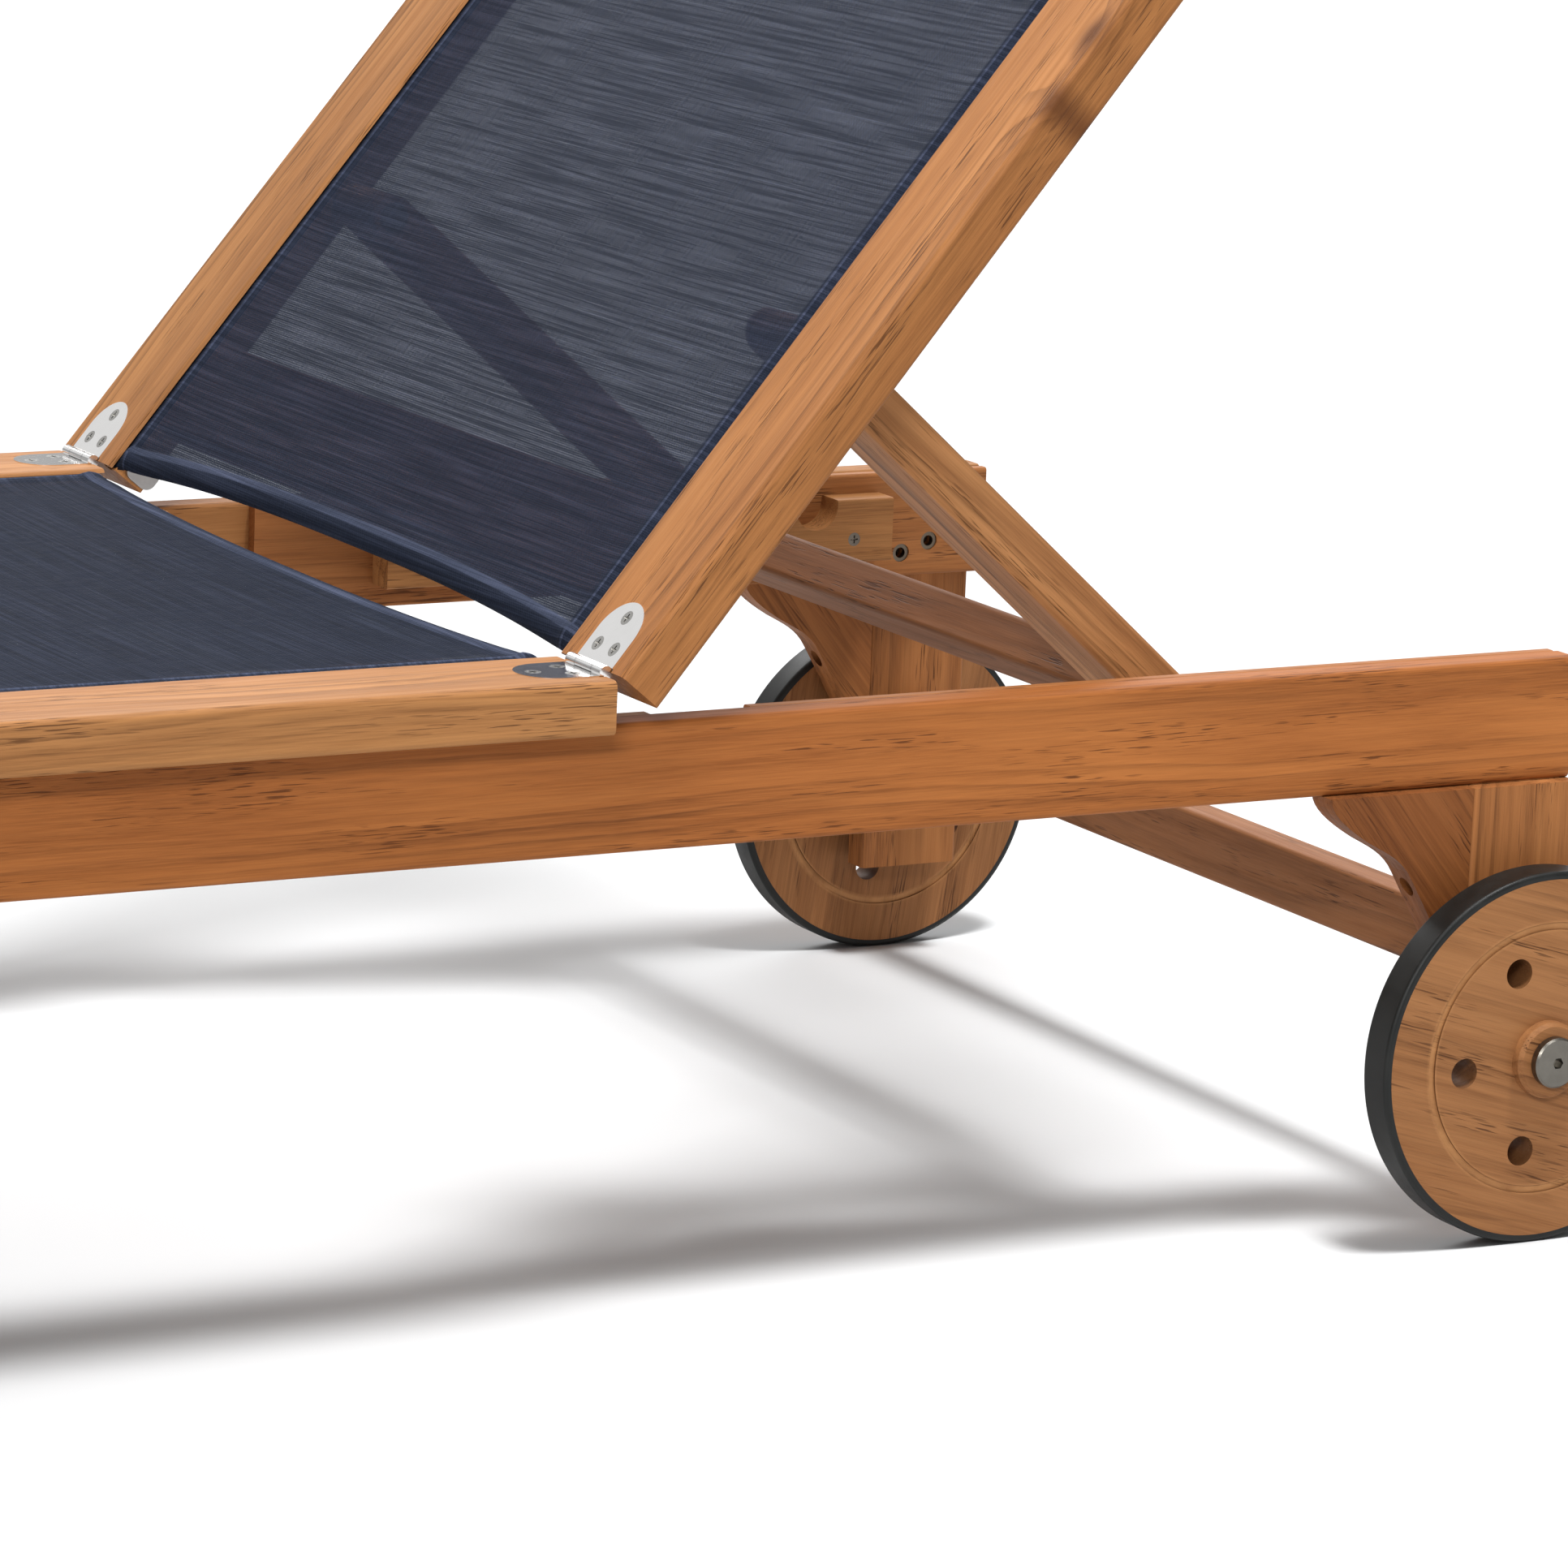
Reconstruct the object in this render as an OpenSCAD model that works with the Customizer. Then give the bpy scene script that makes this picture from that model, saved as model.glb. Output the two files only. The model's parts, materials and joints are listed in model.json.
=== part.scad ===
// Reclining sun lounger: teak base frame, fixed seat frame, hinged backrest frame with a swinging
// prop that stands in two notched racks, and two wooden wheels with rubber tyres at the head end.
// X runs from the foot end to the head end, Y to the left, Z up. The origin is on the ground under
// the middle of the lounger. "left" is +Y and "right" is -Y.

/* [Overall] */
// Length from the foot end of the seat to the back of the wheels
total_l = 1928; // [1800:1:2100]
// Height of the hinge line above the ground
hinge_z = 333.6; // [325:0.1:345]
// Distance from the wheel axle forward to the hinge line
hinge_to_axle = 548.4; // [530:0.1:560]
// Recline angle of the backrest above flat, as built
recline = 50.5; // [35:0.1:60]

/* [Base frame] */
// Half the width over the outer faces of the side rails
rail_y = 320; // [310:1:322]
// Thickness of the side rails
rail_t = 20; // [18:1:22]
// Height of the side rails
rail_h = 65; // [60:1:70]
// Thickness of the inner board that carries the rack
rack_board_t = 8; // [6:1:10]
// Width of the legs along X
leg_w = 65; // [55:1:70]
// Thickness of the legs
leg_t = 20; // [18:1:22]
// How far the legs stand proud of the side rails
leg_proud = 8; // [6:1:9]
// Height of the underside of the head legs above the ground
head_leg_z = 58; // [40:1:70]

/* [Racks] */
// Length of a rack
rack_l = 332; // [320:1:340]
// Height of a rack
rack_h = 38; // [34:1:42]
// Thickness of a rack
rack_t = 20; // [16:1:22]
// Number of notches
notch_count = 5; // [3:1:5]
// Distance between notches
notch_pitch = 47; // [40:1:48]
// Width of a notch
notch_w = 28; // [24:1:30]
// Depth of a notch
notch_depth = 17.6; // [15:0.1:19]

/* [Seat and backrest frames] */
// Half the width over the outer faces of the seat and back rails
frame_y = 346; // [340:1:350]
// Width of the seat and back rails
frame_w = 68; // [60:1:72]
// Thickness of the seat rails
seat_t = 27; // [24:0.5:28]
// Thickness of the back rails
back_t = 26.5; // [24:0.5:26.5]
// Length of the back rails from the hinge line
back_l = 720; // [680:1:760]
// Depth of the curve of the free hems of the slings
hem_curve = 11; // [6:1:14]

/* [Prop] */
// Distance of the prop pivot from the hinge line along the back rail
pivot_s = 203.1; // [190:0.1:215]
// Length of the prop from its pivot to its foot pins
prop_l = 292; // [280:1:300]
// Angle of the prop below level, as built
prop_angle = 41.3; // [30:0.1:45]
// Width of a prop strut
strut_w = 53; // [40:1:54]
// Depth of a prop strut and its foot bar
strut_d = 26; // [20:1:26]

/* [Wheels] */
// Radius over the tyre
wheel_r = 100; // [95:1:105]
// Width of a wheel
wheel_w = 21; // [18:1:24]
// Distance of the outer face of a wheel from the middle
wheel_y = 359.5; // [358:0.5:364]
// Thickness of the tyre
tyre_t = 4; // [3:0.5:6]
// Number of holes through a wheel
hole_count = 5; // [3:1:6]

/* [Hidden] */
$fn = 48;

TEAK = [0.72, 0.47, 0.28];
TEAK_DARK = [0.60, 0.36, 0.20];
NAVY = [0.12, 0.16, 0.30];
STEEL = [0.80, 0.80, 0.79];
RUBBER = [0.08, 0.08, 0.08];
NYLON = [0.85, 0.84, 0.80];

// Radii of the eased long edges: of the rails, of the slimmer pieces, of boards that lie against
// others, and of the racks
edge_r = 3.5;
slim_edge_r = 3;
board_edge_r = 2;
rack_edge_r = 1.5;
// A push fit between two wooden or metal pieces, on the radius
fit = 0.05;
// Cutting shapes reach this far past the faces they cut
past = 1;
// The faces of the seat and backrest frames lie this far under the hinge line
face_drop = 1.6;

// Places along X
foot_x = -total_l / 2;
axle_x = total_l / 2 - wheel_r;
hinge_x = axle_x - hinge_to_axle;
rail_foot_x = foot_x + 20;
rail_head_x = axle_x + 32;
foot_leg_x = rail_foot_x + leg_w / 2;
head_leg_x = rail_head_x - leg_w / 2;
rack_board_x = axle_x - 450;
rack_head_x = axle_x - 43;
rack_foot_x = rack_head_x - rack_l;
first_notch_x = axle_x - 95;
seat_batten_head_x = hinge_x + 44;

// Heights
surface_z = hinge_z - face_drop;
rail_top_z = surface_z - seat_t;
rail_bottom_z = rail_top_z - rail_h;
rack_top_z = rail_top_z - 12;
rack_bottom_z = rack_top_z - rack_h;
brace_top_z = rail_bottom_z;

// Faces across Y, for the left side
rail_in_y = rail_y - rail_t;
board_in_y = rail_in_y - rack_board_t;
rack_in_y = board_in_y - rack_t;
batten_t = 12;
batten_in_y = rail_in_y - batten_t;
leg_out_y = rail_y + leg_proud;
leg_in_y = leg_out_y - leg_t;
frame_in_y = frame_y - frame_w;

// Tenon on top of each leg, let into the side rail
tenon_w = leg_w - 9;
tenon_t = 8;
tenon_h = 32;
tenon_y = (leg_in_y + rail_y) / 2;
tenon_fit = 0.1;

// Bolts that hold the legs: a rod with a wider sleeve at its inner end, hollow for a key
bolt_places = [[-24.5, 15], [-5.5, 21.5]];
bolt_r = 3;
bolt_cover = 4;
sleeve_r = 5.5;
sleeve_end = 5;
sleeve_set = 1;
sleeve_bore_r = 3.2;
sleeve_bore_end = 8;

// Stretchers between the legs
stretcher_h = 36;
stretcher_t = 20;
stretcher_z = 126;

// Cross rails between the side rails, and spreaders under the seat's sling
cross_rail_t = 20;
middle_cross_x = hinge_x - 130;
spreader_w = 60;
spreader_t = 18;
spreader_gap = 0.5;

// Slings lie in grooves in the inner faces of the rails, just under the top faces
sling_t = 2;
sling_n = -6;
groove_h = 2.4;
groove_depth = 8;
channel_r = 3;
spline_r = 2.6;
sling_gap = 0.2;
seat_hem_x = hinge_x - 12;
seat_sling_foot_x = foot_x + frame_w + 10;
back_hem_s = 14;
back_bottom = -face_drop - back_t;
back_sling_top_s = back_l - frame_w - 10;
groove_past_hem = 8;

// Lower cross rail of the backrest
lower_rail_s = 36;
lower_rail_w = 60;
lower_rail_t = 18;

// Hinges
leaf_y = 314;
leaf_w = 37;
leaf_l = 39;
leaf_t = 2;
leaf_top = -1.2;
knuckle_r = 3.4;
knuckle_gap = 0.4;
knuckle_mid = 17;
pin_r = 1.6;
screw_r = 1.8;
screw_head_r = 4;
screw_head_t = 1.6;
screw_l = 16;
leaf_screws = [[30, 0], [12.8, 8.6], [12.8, -8.6]];

// Prop
pivot_n = -20;
prop_turn = recline + prop_angle;
strut_out_y = rack_in_y - 2.5;
strut_in_y = strut_out_y - strut_w;
strut_tail = 12;
strut_end = 18;
bar_s = prop_l + 5;
pin_foot_r = 9;
pivot_r = 4;
pivot_fit = 0.1;
pivot_cover = 12;
pivot_head_r = 8;
pivot_head_t = 6;
spacer_r = 9;
pin_depth = 10;

// Wheels
disc_r = wheel_r - tyre_t;
axle_r = 5;
bush_r = 8;
boss_r = 20.5;
boss_h = 7;
cap_r = 13.5;
cap_t = 5;
ring_r = 71;
hole_r = 8;
hole_ring_r = 50.7;
hole_start = 31.5;
ring_groove_w = 4;
ring_groove_d = 1.2;
washer_r = 14;
wheel_gap = 0.5;
nut_r = 9;
nut_t = 6;
key_r = 3.2;
key_depth = 3.6;

// ---------- helpers ----------

// Puts a left-hand piece on the left (side = 1) or its mirror image on the right (side = -1)
module sided(side) {
    if (side > 0) children();
    else mirror([0, 1, 0]) children();
}

// A w x h rectangle with its first corner at [x, y] and true round corners
module eased(x, y, w, h, r = edge_r) {
    translate([x + r, y]) square([w - 2 * r, h]);
    translate([x, y + r]) square([w, h - 2 * r]);
    for (cx = [x + r, x + w - r], cy = [y + r, y + h - r])
        translate([cx, cy]) circle(r);
}

// Board along X, its section eased
module board_x(x0, x1, y0, y1, z0, z1, r = edge_r) {
    translate([x0, 0, 0]) rotate([90, 0, 90])
        linear_extrude(x1 - x0) eased(y0, z0, y1 - y0, z1 - z0, r);
}

// Board along Y, its section eased
module board_y(x0, x1, y0, y1, z0, z1, r = edge_r) {
    translate([0, y1, 0]) rotate([90, 0, 0])
        linear_extrude(y1 - y0) eased(x0, z0, x1 - x0, z1 - z0, r);
}

// Board along Z, its section eased
module board_z(x0, x1, y0, y1, z0, z1, r = edge_r) {
    translate([0, 0, z0]) linear_extrude(z1 - z0) eased(x0, y0, x1 - x0, y1 - y0, r);
}

// Cylinder along Y from y0 to y1
module rod_y(x, y0, y1, z, r) {
    translate([x, y1, z]) rotate([90, 0, 0]) cylinder(h = y1 - y0, r = r);
}

// Screw that points down, with a cross recess; its head's top face is at the origin
module screw(l = screw_l) {
    difference() {
        translate([0, 0, -screw_head_t]) cylinder(h = screw_head_t, r = screw_head_r);
        for (a = [0, 90]) rotate(a) translate([-2.4, -0.5, -1]) cube([4.8, 1, 2]);
    }
    translate([0, 0, -l]) cylinder(h = l - screw_head_t, r = screw_r);
}

// The hole that such a screw sits in
module screw_hole(l = screw_l) {
    translate([0, 0, -screw_head_t]) cylinder(h = screw_head_t + 1, r = screw_head_r + fit);
    translate([0, 0, -l]) cylinder(h = l, r = screw_r + fit);
}

// Frame of the backrest: x along the back rail, z out of its front face
module on_back() {
    translate([hinge_x, 0, hinge_z]) rotate([0, -recline, 0]) children();
}

// Frame of the prop: x along the struts from the pivot to the foot
module on_prop() {
    on_back() translate([pivot_s, 0, pivot_n]) rotate([0, prop_turn, 0]) children();
}

// Frame of the hinge line, level
module on_hinge() {
    translate([hinge_x, 0, hinge_z]) children();
}

// Frame of one wheel: the axle along z, out of the wheel's outer face
module on_wheel(side) {
    sided(side) translate([axle_x, wheel_y, wheel_r]) rotate([-90, 0, 0]) children();
}

// ---------- base frame ----------

module tenon_block(x, grow = 0) {
    translate([x - tenon_w / 2 - grow, tenon_y - tenon_t / 2 - grow, rail_bottom_z - 1])
        cube([tenon_w + 2 * grow, tenon_t + 2 * grow, tenon_h + 1 + grow]);
}

// Bolt sleeves go in from the inner face; turn is 1 at the head end and -1 at the foot end
module bolt_rods(x, turn, face_y, grow = 0) {
    sleeve_start = face_y + sleeve_set - 2 * past * sign(grow);
    for (p = bolt_places)
        rod_y(x + turn * p[0], face_y + sleeve_end, rail_y - bolt_cover, rail_bottom_z + p[1],
              bolt_r + grow);
    for (p = bolt_places)
        rod_y(x + turn * p[0], sleeve_start, face_y + sleeve_end, rail_bottom_z + p[1],
              sleeve_r + grow);
}

module all_bolt_holes() {
    bolt_rods(head_leg_x, 1, board_in_y, fit);
    bolt_rods(foot_leg_x, -1, batten_in_y, fit);
}

module side_rail(side) {
    color(TEAK) sided(side) difference() {
        board_x(rail_foot_x, rail_head_x, rail_in_y, rail_y, rail_bottom_z, rail_top_z);
        tenon_block(head_leg_x, tenon_fit);
        tenon_block(foot_leg_x, tenon_fit);
        all_bolt_holes();
        rack_screw_holes();
    }
}

// Stiffening board under the seat, on the inner face of the side rail
module seat_batten(side) {
    color(TEAK) sided(side) difference() {
        board_x(rail_foot_x, seat_batten_head_x, batten_in_y, rail_in_y,
                rail_bottom_z + 1, rail_top_z - 1.5, board_edge_r);
        all_bolt_holes();
    }
}

// Board behind the rack, on the inner face of the side rail
module rack_board(side) {
    color(TEAK) sided(side) difference() {
        board_x(rack_board_x, rail_head_x, board_in_y, rail_in_y,
                rail_bottom_z + 1, rail_top_z - 0.6, board_edge_r);
        all_bolt_holes();
        rack_screw_holes();
    }
}

function notch_x(i) = first_notch_x - i * notch_pitch;
rack_screw_l = rack_t + rack_board_t + 12;
rack_screw_places = [
    [rack_head_x - 26, rack_bottom_z + 14],
    [notch_x(2) + notch_pitch / 2, rack_bottom_z + 12],
    [rack_foot_x + 26, rack_bottom_z + 14],
];

module rack_screw_frames() {
    for (p = rack_screw_places)
        translate([p[0], rack_in_y, p[1]]) rotate([90, 0, 0]) children();
}

module rack_screw_holes() {
    rack_screw_frames() screw_hole(rack_screw_l);
}

module notch_rack(side) {
    r = notch_w / 2;
    floor_z = rack_top_z - notch_depth + r;
    color(TEAK) sided(side) difference() {
        board_x(rack_foot_x, rack_head_x, rack_in_y, board_in_y, rack_bottom_z, rack_top_z,
                rack_edge_r);
        for (i = [0 : notch_count - 1]) {
            rod_y(notch_x(i), rack_in_y - past, board_in_y + past, floor_z, r);
            translate([notch_x(i) - r, rack_in_y - past, floor_z])
                cube([notch_w, rack_t + 2 * past, notch_depth]);
        }
        rack_screw_holes();
    }
}

module rack_screws() {
    color(STEEL) for (side = [1, -1])
        sided(side) rack_screw_frames() screw(rack_screw_l);
}

// sole_z is the height of the leg's lower end above the ground
module leg(side, x, turn, sole_z) {
    color(TEAK) sided(side) difference() {
        union() {
            board_z(x - leg_w / 2, x + leg_w / 2, leg_in_y, leg_out_y, sole_z, rail_bottom_z,
                    slim_edge_r);
            intersection() {
                tenon_block(x);
                translate([x - leg_w, 0, rail_bottom_z - 1]) cube([2 * leg_w, 400, tenon_h]);
            }
        }
        bolt_rods(x, turn, turn > 0 ? board_in_y : batten_in_y, fit);
        if (sole_z > 0) {
            rod_y(axle_x, leg_in_y - past, leg_out_y + past, wheel_r, axle_r + fit);
            rod_y(axle_x, leg_in_y - past, leg_in_y + nut_t, wheel_r, nut_r + fit);
        }
        brace_screw_frame(x, turn) screw_hole(brace_screw_l);
    }
}

// Point at t on a cubic curve with control points p
function bez(p, t) =
    pow(1 - t, 3) * p[0] + 3 * pow(1 - t, 2) * t * p[1]
    + 3 * (1 - t) * t * t * p[2] + t * t * t * p[3];

// Curved edge of a knee brace, from the nose under the rail down to the tip on the leg.
// x is measured away from the leg's face, z down from the rail.
brace_nose = [[88.5, 0], [88, 8], [78, 16], [63, 25]];
brace_knee = [[63, 25], [52, 31], [42, 35], [36, 46]];
brace_tail = [[36, 46], [30, 56], [18, 76], [4, 104]];
brace_steps = 8;
brace_tip_z = brace_tail[3][1];
brace_screw_x = 23;
brace_screw_z = 52;
brace_screw_l = 42;
brace_bore_r = 5;
brace_bore_l = 40;
brace_edge = [
    for (c = [brace_nose, brace_knee, brace_tail], i = [0 : brace_steps - 1])
        bez(c, i / brace_steps),
    brace_tail[3],
];

// turn = 1 where the brace stands on the foot side of its leg, -1 on the head side
module brace(side, x, turn) {
    face_x = x - turn * leg_w / 2;
    outline = concat([[0, 0]], brace_edge, [[0, brace_tip_z]]);
    color(TEAK_DARK) sided(side) difference() {
        translate([face_x, leg_out_y - 0.5, brace_top_z]) rotate([90, 0, 0])
            linear_extrude(leg_t - 1)
                polygon([for (p = outline) [-turn * p[0], -p[1]]]);
        brace_screw_frame(x, turn) {
            screw_hole(brace_screw_l);
            translate([0, 0, -screw_head_t]) cylinder(h = brace_bore_l, r = brace_bore_r);
        }
    }
}

// A screw goes through the brace into the leg, its head at the bottom of a bore in the curved edge
module brace_screw_frame(x, turn) {
    translate([x - turn * (leg_w / 2 + brace_screw_x), leg_out_y - leg_t / 2, brace_top_z - brace_screw_z])
        rotate([0, -turn * 90, 0]) children();
}

module brace_screws() {
    color(STEEL) for (side = [1, -1]) sided(side) {
        brace_screw_frame(head_leg_x, 1) screw(brace_screw_l);
        brace_screw_frame(foot_leg_x, -1) screw(brace_screw_l);
    }
}

module leg_bolts() {
    color(STEEL) for (side = [1, -1]) sided(side) difference() {
        union() {
            bolt_rods(head_leg_x, 1, board_in_y);
            bolt_rods(foot_leg_x, -1, batten_in_y);
        }
        for (p = bolt_places) {
            rod_y(head_leg_x + p[0], 0, board_in_y + sleeve_bore_end, rail_bottom_z + p[1],
                  sleeve_bore_r);
            rod_y(foot_leg_x - p[0], 0, batten_in_y + sleeve_bore_end, rail_bottom_z + p[1],
                  sleeve_bore_r);
        }
    }
}

module stretcher(x) {
    color(TEAK) board_y(x - stretcher_t / 2, x + stretcher_t / 2, -leg_in_y, leg_in_y,
                        stretcher_z, stretcher_z + stretcher_h, slim_edge_r);
}

module foot_cross_rail() {
    color(TEAK) board_y(rail_foot_x, rail_foot_x + cross_rail_t, -batten_in_y, batten_in_y,
                        rail_bottom_z + 2, rail_top_z - 2, slim_edge_r);
}

module middle_cross_rail() {
    color(TEAK) board_y(middle_cross_x, middle_cross_x + cross_rail_t, -batten_in_y, batten_in_y,
                        rail_bottom_z + 2, rail_top_z - 8, slim_edge_r);
}

// ---------- seat ----------

// Groove for the sling's edge in the inner face of a rail that lies along local X
module sling_groove(x0, x1) {
    translate([x0, frame_in_y - past, sling_n + sling_t / 2 - groove_h / 2])
        cube([x1 - x0, groove_depth + past, groove_h]);
    translate([x0, frame_in_y + groove_depth, sling_n + sling_t / 2]) rotate([0, 90, 0])
        cylinder(h = x1 - x0, r = channel_r);
}

module spline_rod(x0, x1) {
    translate([x0, frame_in_y + groove_depth, sling_n + sling_t / 2]) rotate([0, 90, 0])
        cylinder(h = x1 - x0, r = spline_r);
}

// Pocket for a hinge leaf that points along +X or, with turn = -1, along -X
module leaf_pocket(turn) {
    translate([0, leaf_y, leaf_top - leaf_t]) linear_extrude(10) leaf_outline(turn, fit);
    rod_y(0, leaf_y - leaf_w / 2 - 1, leaf_y + leaf_w / 2 + 1, 0, knuckle_r + 0.5);
    leaf_screw_frames(turn) screw_hole();
}

module leaf_outline(turn, grow = 0) {
    r = leaf_w / 2 + grow;
    mirror([turn > 0 ? 0 : 1, 0]) {
        translate([0, -r]) square([leaf_l + grow - r, 2 * r]);
        translate([leaf_l + grow - r, 0]) circle(r);
    }
}

module leaf_screw_frames(turn) {
    for (p = leaf_screws)
        translate([turn * p[0], leaf_y + p[1], leaf_top]) children();
}

module seat_rail(side) {
    color(TEAK) sided(side) difference() {
        board_x(foot_x, hinge_x - 0.5, frame_in_y, frame_y, rail_top_z, surface_z);
        on_hinge() leaf_pocket(-1);
        on_hinge() sling_groove(seat_sling_foot_x - hinge_x - groove_past_hem, past);
    }
}

module seat_foot_rail() {
    color(TEAK) board_y(foot_x, foot_x + frame_w, -frame_in_y, frame_in_y,
                        rail_top_z, surface_z);
}

module seat_spreader(x) {
    bottom_z = rail_top_z + spreader_gap;
    color(TEAK) board_y(x, x + spreader_w, -frame_in_y, frame_in_y,
                        bottom_z, bottom_z + spreader_t, slim_edge_r);
}

// Sling outline between x0 and x1, with a curved hem at each end that is set
module sling_outline(x0, x1, curve0, curve1) {
    half = frame_in_y - sling_gap;
    hem_r = (half * half + hem_curve * hem_curve) / (2 * hem_curve);
    difference() {
        translate([x0, -half]) square([x1 - x0, 2 * half]);
        if (curve0) translate([x0 + hem_curve - hem_r, 0]) circle(hem_r, $fn = 360);
        if (curve1) translate([x1 - hem_curve + hem_r, 0]) circle(hem_r, $fn = 360);
    }
}

module seat_sling() {
    color(NAVY) translate([0, 0, hinge_z + sling_n]) linear_extrude(sling_t)
        sling_outline(seat_sling_foot_x, seat_hem_x + hem_curve, true, true);
}

module seat_splines() {
    color(NYLON) for (side = [1, -1]) sided(side)
        on_hinge() spline_rod(seat_sling_foot_x - hinge_x, seat_hem_x - hinge_x);
}

// ---------- hinges ----------

// Seat leaves carry the two outer knuckles and back leaves the middle one
module knuckles(outer, grow = 0) {
    half = leaf_w / 2;
    mid = knuckle_mid / 2;
    if (outer) for (s = [-1, 1]) {
        c = s * (half + mid + knuckle_gap) / 2;
        l = half - mid - knuckle_gap;
        rod_y(0, leaf_y + c - l / 2 - grow, leaf_y + c + l / 2 + grow, 0, knuckle_r + grow);
    }
    else rod_y(0, leaf_y - mid - grow, leaf_y + mid + grow, 0, knuckle_r + grow);
}

module hinge_leaf(turn, outer) {
    difference() {
        union() {
            translate([0, leaf_y, leaf_top - leaf_t]) linear_extrude(leaf_t) leaf_outline(turn);
            knuckles(outer);
        }
        knuckles(!outer, knuckle_gap);
        rod_y(0, leaf_y - leaf_w, leaf_y + leaf_w, 0, pin_r + fit);
        leaf_screw_frames(turn) screw_hole();
        // the other leaf's side of the hinge line is kept free between the knuckles
        if (!outer) translate([-10, leaf_y - leaf_w / 2 - 1, -10])
            cube([10, leaf_w / 2 + 1 - knuckle_mid / 2, 20]);
    }
}

module seat_hinge_leaf(side) {
    color(STEEL) sided(side) on_hinge() hinge_leaf(-1, true);
}

module back_hinge_leaf(side) {
    color(STEEL) sided(side) on_back() hinge_leaf(1, false);
}

module hinge_pins() {
    color(STEEL) for (side = [1, -1]) sided(side)
        on_hinge() rod_y(0, leaf_y - leaf_w / 2, leaf_y + leaf_w / 2, 0, pin_r);
}

module seat_hinge_screws() {
    color(STEEL) for (side = [1, -1]) sided(side) on_hinge() leaf_screw_frames(-1) screw();
}

module back_hinge_screws() {
    color(STEEL) for (side = [1, -1]) sided(side) on_back() leaf_screw_frames(1) screw();
}

// ---------- backrest ----------

module back_rail(side) {
    color(TEAK) sided(side) on_back() difference() {
        board_x(1.5, back_l, frame_in_y, frame_y, back_bottom, -face_drop);
        leaf_pocket(1);
        sling_groove(-past, back_sling_top_s + groove_past_hem);
        rod_y(pivot_s, frame_in_y - past, frame_y - pivot_cover, pivot_n, pivot_r + fit);
    }
}

module back_top_rail() {
    color(TEAK) on_back() board_y(back_l - frame_w, back_l, -frame_in_y, frame_in_y,
                                  back_bottom, -face_drop);
}

module back_lower_rail() {
    color(TEAK) on_back() board_y(lower_rail_s, lower_rail_s + lower_rail_w, -frame_in_y, frame_in_y,
                                  back_bottom, back_bottom + lower_rail_t, slim_edge_r);
}

module back_sling() {
    color(NAVY) on_back() translate([0, 0, sling_n]) linear_extrude(sling_t)
        sling_outline(back_hem_s - hem_curve, back_sling_top_s, true, true);
}

module back_splines() {
    color(NYLON) for (side = [1, -1]) sided(side)
        on_back() spline_rod(back_hem_s, back_sling_top_s);
}

// Small plates on the inner faces of the lower ends of the back rails
module back_end_plates() {
    color(STEEL) for (side = [1, -1]) sided(side) on_back()
        translate([0, frame_in_y, 0]) rotate([90, 0, 0]) linear_extrude(2.5)
            eased(3, back_bottom - 1.8, 15, 20, 6);
}

module prop_pivot_bolts() {
    color(STEEL) for (side = [1, -1]) sided(side) on_back() {
        rod_y(pivot_s, strut_in_y + pivot_head_t, frame_y - pivot_cover, pivot_n, pivot_r);
        rod_y(pivot_s, strut_in_y - 1, strut_in_y + pivot_head_t, pivot_n, pivot_head_r);
        rod_y(pivot_s, strut_out_y + 0.4, frame_in_y, pivot_n, spacer_r);
    }
}

// ---------- prop ----------

module prop_strut(side) {
    d = strut_d / 2;
    color(TEAK) sided(side) on_prop() difference() {
        union() {
            translate([0, strut_out_y, 0]) rotate([90, 0, 0])
                linear_extrude(strut_w) circle(strut_tail);
            translate([0, strut_out_y, 0]) rotate([90, 0, 0])
                linear_extrude(strut_w) translate([0, -strut_tail]) square([16, 2 * strut_tail]);
            board_x(14, prop_l + strut_end, strut_in_y, strut_out_y, -d, d, slim_edge_r);
        }
        rod_y(0, strut_in_y - past, strut_out_y + past, 0, pivot_r + pivot_fit);
        rod_y(0, strut_in_y - 2 * past, strut_in_y + pivot_head_t + 0.3, 0, pivot_head_r + 0.3);
        rod_y(prop_l, strut_in_y + pin_depth, strut_out_y + past, 0, pin_foot_r + fit);
    }
}

module prop_foot_bar() {
    d = strut_d / 2;
    color(TEAK) on_prop() board_y(bar_s - d, bar_s + d, -strut_in_y, strut_in_y, -d, d,
                                  slim_edge_r);
}

// Dowels at the ends of the foot; they stop just short of the racks
module prop_foot_pins() {
    color(TEAK) for (side = [1, -1]) sided(side)
        on_prop() rod_y(prop_l, strut_in_y + pin_depth, rack_in_y - 0.6, 0, pin_foot_r);
}

// ---------- wheels ----------

module axle_bolt(side) {
    shaft_l = wheel_y + boss_h - leg_in_y - 2;
    color(STEEL) on_wheel(side) difference() {
        union() {
            translate([0, 0, boss_h - shaft_l]) cylinder(h = shaft_l, r = axle_r);
            translate([0, 0, boss_h + 0.4]) cylinder(h = cap_t - 1, r = cap_r);
            translate([0, 0, boss_h + 0.4 + cap_t - 1]) cylinder(h = 1, r1 = cap_r, r2 = cap_r - 1);
            translate([0, 0, boss_h]) cylinder(h = 0.4, r = axle_r);
            // shoulder washer between the wheel and the leg
            translate([0, 0, leg_out_y - wheel_y])
                cylinder(h = wheel_y - leg_out_y - wheel_w - wheel_gap, r = washer_r);
        }
        translate([0, 0, boss_h + 0.4 + cap_t - key_depth]) cylinder(h = cap_t, r = key_r, $fn = 6);
    }
}

module axle_nuts() {
    color(STEEL) for (side = [1, -1]) on_wheel(side)
        translate([0, 0, leg_in_y - wheel_y]) difference() {
            cylinder(h = nut_t, r = nut_r);
            translate([0, 0, -past]) cylinder(h = nut_t + 2 * past, r = axle_r + fit);
        }
}

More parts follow.
